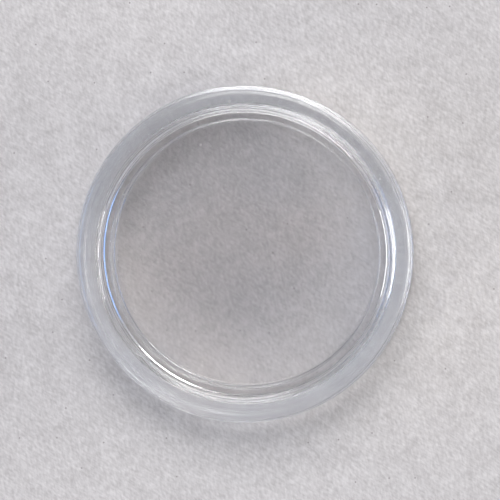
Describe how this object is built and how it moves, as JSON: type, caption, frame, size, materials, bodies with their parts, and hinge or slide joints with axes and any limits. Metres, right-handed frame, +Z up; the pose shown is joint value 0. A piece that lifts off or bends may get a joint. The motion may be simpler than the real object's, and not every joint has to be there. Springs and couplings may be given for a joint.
{
  "type": "coin capsule",
  "caption": "Round clear plastic coin capsule: a base whose seat wall holds a coin, and a lift-off lid whose skirt presses over that wall; both windows are recessed below a raised rim.",
  "frame": {"origin": "centre of the foot face that the capsule rests on", "axes": "+Z up along the capsule's axis, from the base to the lid; +X and +Y lie in the foot face, and the shape is round so they name no feature"},
  "size_m": [0.0305, 0.0304, 0.006],
  "materials": {
    "base_plastic": "clear polished polystyrene",
    "lid_plastic": "clear polished polystyrene"
  },
  "bodies": {
    "base": {"capsule_base": "base_plastic"},
    "lid": {"capsule_lid": "lid_plastic"}
  },
  "joints": [
    {"name": "lid_lift", "type": "slide", "parent": "base", "child": "lid", "axis": [0, 0, 1], "range_m": [0, 0.03]}
  ]
}
